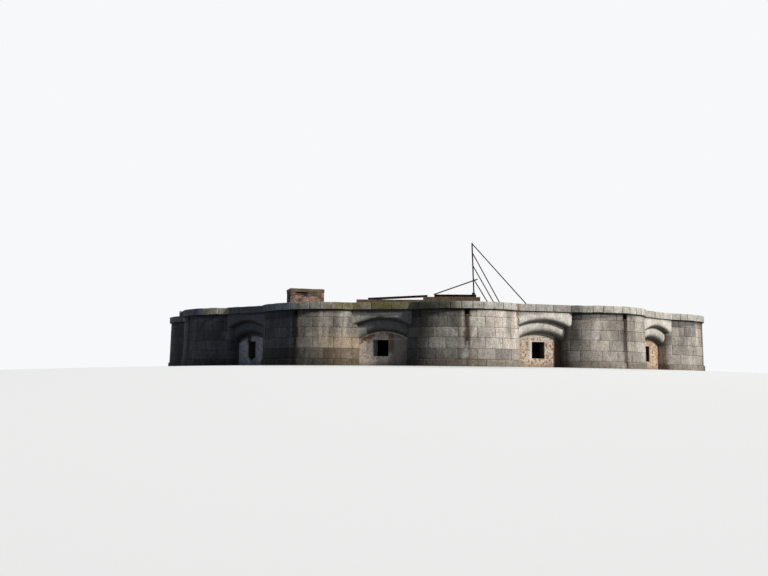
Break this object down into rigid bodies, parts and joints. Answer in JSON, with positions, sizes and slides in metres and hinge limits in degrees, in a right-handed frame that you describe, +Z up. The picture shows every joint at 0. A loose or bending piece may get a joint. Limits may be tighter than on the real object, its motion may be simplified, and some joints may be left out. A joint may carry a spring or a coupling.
{
  "type": "scale model of a scalloped round river fort, 1:2",
  "caption": "Ruined round fort with bowed granite piers, arched and walled-up gun ports, a thick coping, an open court and a rusty frame on the roof.",
  "frame": {"origin": "ground level at the middle of the court", "axes": "+Z up, -Y toward the gun port that faces the viewer, +X to the viewer's right"},
  "size_m": [29.2594, 29.2594, 5.6311],
  "materials": {
    "granite": "weathered granite blocks, streaked and stained",
    "coping_granite": "weathered granite coping with moss and lichen",
    "rendered_brick": "brick with peeling lime render",
    "brick": "weathered brick",
    "concrete": "rough weathered concrete",
    "rusty_steel": "deep rust"
  },
  "bodies": {
    "root": {"brick_post_slab": "concrete", "brick_post_walls": "brick", "court_wall_1": "brick", "court_wall_2": "brick", "court_wall_3": "brick", "court_wall_4": "brick", "entrance_wall": "rendered_brick", "frame_base": "concrete", "frame_sill": "rusty_steel", "gallery_floor": "concrete", "inner_port_arches": "granite", "mast": "rusty_steel", "outer_port_arches": "granite", "pier_01": "granite", "pier_02": "granite", "pier_03": "granite", "pier_04": "granite", "pier_05": "granite", "pier_06": "granite", "pier_07": "granite", "pier_08": "granite", "pier_09": "granite", "pier_10": "granite", "pier_11": "granite", "pier_12": "granite", "pier_coping": "coping_granite", "port_coping": "coping_granite", "port_wall_01": "rendered_brick", "port_wall_02": "rendered_brick", "port_wall_03": "rendered_brick", "port_wall_04": "rendered_brick", "port_wall_05": "rendered_brick", "port_wall_06": "rendered_brick", "port_wall_08": "rendered_brick", "port_wall_09": "rendered_brick", "port_wall_10": "rendered_brick", "port_wall_11": "rendered_brick", "port_wall_12": "rendered_brick", "roof_slab": "concrete", "roof_step": "concrete", "rusty_beam": "rusty_steel", "slanting_bar": "rusty_steel", "stays": "rusty_steel"}
  },
  "joints": []
}
